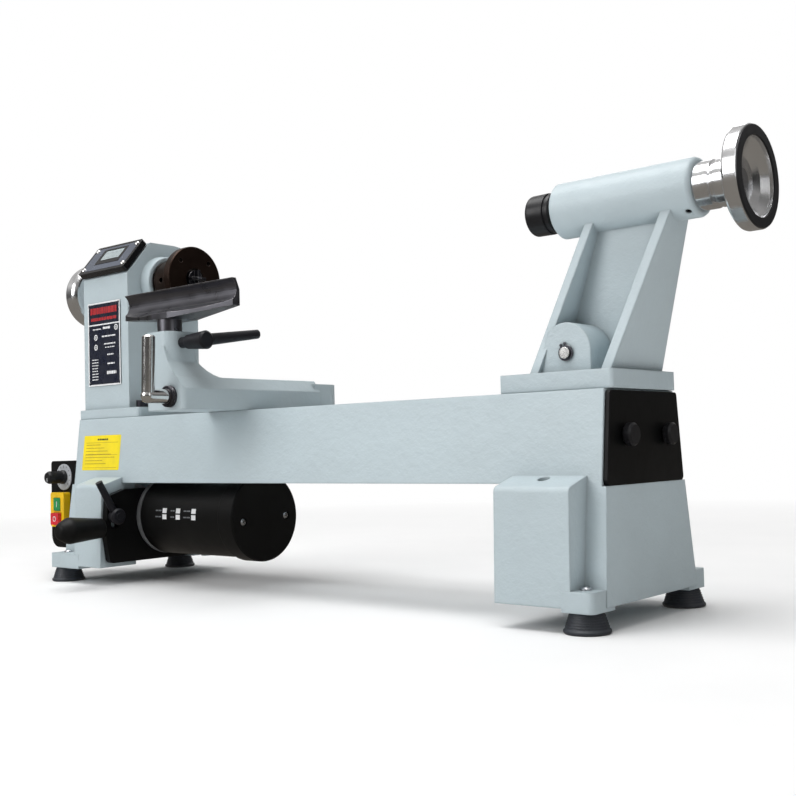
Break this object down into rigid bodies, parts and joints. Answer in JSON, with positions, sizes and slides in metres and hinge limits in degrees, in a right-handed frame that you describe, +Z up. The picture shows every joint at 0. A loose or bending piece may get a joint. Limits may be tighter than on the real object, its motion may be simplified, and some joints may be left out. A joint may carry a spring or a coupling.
{
  "type": "wood lathe",
  "caption": "Bench wood lathe with a belt-driven spindle and faceplate, a banjo with a tool rest, and a tailstock with a screw-fed quill, on a cast bed with rubber feet.",
  "frame": {"origin": "on the spindle axis, at the front face of the faceplate, in the middle of its circle of screw holes", "axes": "+X along the spindle axis towards the tailstock, -Y towards the operator, +Z up"},
  "size_m": [0.8684, 0.2701, 0.3905],
  "materials": {
    "painted_casting": "light cool grey sprayed paint over rough cast iron, satin",
    "black_painted_metal": "black semi-gloss paint",
    "black_plastic": "moulded, fine texture",
    "dark_iron": "oiled, dark brown-black",
    "black_iron": "black oxide with rubbed edges",
    "polished_aluminium": "turned and polished",
    "chrome": "bright plated",
    "steel": "machined",
    "zinc_steel": "zinc plated fastener",
    "rubber": "moulded, matt",
    "belt_rubber": "ribbed drive belt",
    "window_glass": "clear window over a grey display",
    "info_plate": "printed aluminium plate",
    "yellow_plastic": "moulded",
    "green_plastic": "moulded",
    "red_plastic": "moulded",
    "grip_plastic": "smooth phenolic grip"
  },
  "bodies": {
    "frame": {"bed_casting": "painted_casting", "rubber_feet": "rubber", "foot_screws": "zinc_steel", "bed_end_plate": "black_painted_metal", "end_plate_knobs": "black_plastic", "headstock_casting": "painted_casting", "headstock_bolts": "black_iron", "display_housing": "black_plastic", "display_window": "window_glass", "display_screws": "chrome", "info_plate": "info_plate", "belt_door_hinge": "steel", "spindle_bearings": "steel", "drive_belt": "belt_rubber", "motor_pivot_bolt": "zinc_steel", "control_box": "black_plastic", "dial_plate": "polished_aluminium", "switch_housing": "yellow_plastic"},
    "door": {"belt_door": "painted_casting", "belt_door_knob": "black_plastic"},
    "spindle": {"spindle": "steel", "spindle_pulley": "polished_aluminium", "spindle_handwheel": "polished_aluminium", "faceplate": "dark_iron", "drive_centre": "black_iron"},
    "motor_mount": {"motor_body": "black_painted_metal", "motor_end_cap": "black_painted_metal", "motor_cap_screws": "zinc_steel", "motor_terminal_box": "black_plastic", "motor_plate": "black_painted_metal", "motor_cable": "rubber", "tension_rod": "chrome", "tension_grip": "grip_plastic"},
    "motor_rotor": {"motor_shaft": "steel", "motor_pulley": "polished_aluminium"},
    "tension_lock": {"tension_lock_lever": "black_plastic"},
    "speed_control": {"speed_knob": "black_plastic"},
    "start_control": {"start_button": "green_plastic"},
    "stop_control": {"stop_button": "red_plastic"},
    "banjo_clamp": {"banjo_clamp_plate": "black_iron"},
    "banjo_stud": {"banjo_clamp_stud": "steel"},
    "banjo": {"banjo_casting": "painted_casting", "banjo_cam_collar": "black_iron"},
    "banjo_cam": {"banjo_cam_handle": "chrome"},
    "rest_post": {"tool_rest_post": "black_iron"},
    "rest_blade": {"tool_rest_blade": "black_iron"},
    "rest_lock": {"rest_lock_lever": "black_plastic"},
    "tailstock": {"tailstock_casting": "painted_casting", "barrel_set_screw": "black_iron"},
    "tail_wheel": {"feed_screw": "steel", "tail_handwheel": "polished_aluminium", "tail_wheel_ring": "black_plastic"},
    "quill": {"quill": "chrome", "quill_cap": "black_plastic"},
    "tail_cam": {"tail_cam_shaft": "chrome", "tail_cam_circlip": "black_iron", "tail_cam_handle": "chrome"},
    "tail_clamp": {"tail_clamp_bolt": "steel", "tail_clamp_plate": "black_iron"},
    "quill_lock": {"quill_lock_lever": "black_plastic"}
  },
  "joints": [
    {"name": "spindle_spin", "type": "hinge", "parent": "frame", "child": "spindle", "pos_m": [0, 0, 0], "axis": [1, 0, 0], "continuous": true},
    {"name": "motor_tension", "type": "hinge", "parent": "frame", "child": "motor_mount", "pos_m": [-0.0486, 0.062, -0.247], "axis": [1, 0, 0], "range_deg": [-3, 2.5], "deforming": ["drive_belt"]},
    {"name": "motor_spin", "type": "hinge", "parent": "motor_mount", "child": "motor_rotor", "pos_m": [-0.0856, -0.01, -0.266], "axis": [1, 0, 0], "continuous": true},
    {"name": "tension_lock_turn", "type": "hinge", "parent": "frame", "child": "tension_lock", "pos_m": [-0.0436, -0.083, -0.264], "axis": [1, 0, 0], "range_deg": [-40, 14]},
    {"name": "belt_door_swing", "type": "hinge", "parent": "frame", "child": "door", "pos_m": [-0.1006, 0.0555, -0.123], "axis": [-1, 0, 0], "range_deg": [0, 95]},
    {"name": "speed_turn", "type": "hinge", "parent": "frame", "child": "speed_control", "pos_m": [-0.1746, -0.06, -0.2216], "axis": [0, 1, 0], "range_deg": [0, 270]},
    {"name": "start_push", "type": "slide", "parent": "frame", "child": "start_control", "axis": [0, 1, 0], "range_m": [0, 0.002]},
    {"name": "stop_push", "type": "slide", "parent": "frame", "child": "stop_control", "axis": [0, 1, 0], "range_m": [0, 0.003]},
    {"name": "banjo_travel", "type": "slide", "parent": "frame", "child": "banjo_clamp", "axis": [1, 0, 0], "range_m": [-0.04, 0.22]},
    {"name": "banjo_swivel", "type": "hinge", "parent": "banjo_clamp", "child": "banjo_stud", "pos_m": [0.1294, 0, -0.155], "axis": [0, 0, 1], "range_deg": [-20, 20]},
    {"name": "banjo_reach", "type": "slide", "parent": "banjo_stud", "child": "banjo", "axis": [0, 1, 0], "range_m": [-0.045, 0.03]},
    {"name": "banjo_cam_turn", "type": "hinge", "parent": "banjo", "child": "banjo_cam", "pos_m": [0.1294, -0.139, -0.142], "axis": [0, 1, 0], "range_deg": [-45, 95]},
    {"name": "rest_height", "type": "slide", "parent": "banjo", "child": "rest_post", "axis": [0, 0, 1], "range_m": [-0.01, 0.035]},
    {"name": "rest_swivel", "type": "hinge", "parent": "rest_post", "child": "rest_blade", "pos_m": [0.1074, -0.121, -0.055], "axis": [0, 0, 1], "range_deg": [-180, 180]},
    {"name": "rest_lock_turn", "type": "hinge", "parent": "banjo", "child": "rest_lock", "pos_m": [0.1364, -0.121, -0.089], "axis": [1, 0, 0], "range_deg": [-115, 10]},
    {"name": "tailstock_travel", "type": "slide", "parent": "frame", "child": "tailstock", "axis": [1, 0, 0], "range_m": [-0.29, 0]},
    {"name": "tail_wheel_turn", "type": "hinge", "parent": "tailstock", "child": "tail_wheel", "pos_m": [0.6144, 0, 0], "axis": [-1, 0, 0], "range_deg": [0, 7740]},
    {"name": "quill_feed", "type": "slide", "parent": "tailstock", "child": "quill", "axis": [-1, 0, 0], "range_m": [0, 0.054]},
    {"name": "tail_cam_turn", "type": "hinge", "parent": "tailstock", "child": "tail_cam", "pos_m": [0.5104, 0, -0.124], "axis": [0, 1, 0], "range_deg": [0, 90]},
    {"name": "tail_clamp_lift", "type": "slide", "parent": "tailstock", "child": "tail_clamp", "axis": [0, 0, 1], "range_m": [-0.0023, 0.0001]},
    {"name": "quill_lock_turn", "type": "hinge", "parent": "tailstock", "child": "quill_lock", "pos_m": [0.5144, 0.026, 0], "axis": [0, 1, 0], "range_deg": [-60, 45]}
  ],
  "couplings": [
    {"joint": "motor_spin", "follows": "spindle_spin", "ratio": 1.1111},
    {"joint": "quill_feed", "follows": "tail_wheel_turn", "m_per_rad": 0.00039789},
    {"joint": "tail_clamp_lift", "follows": "tail_cam_turn", "m_per_rad": -0.0014006}
  ]
}
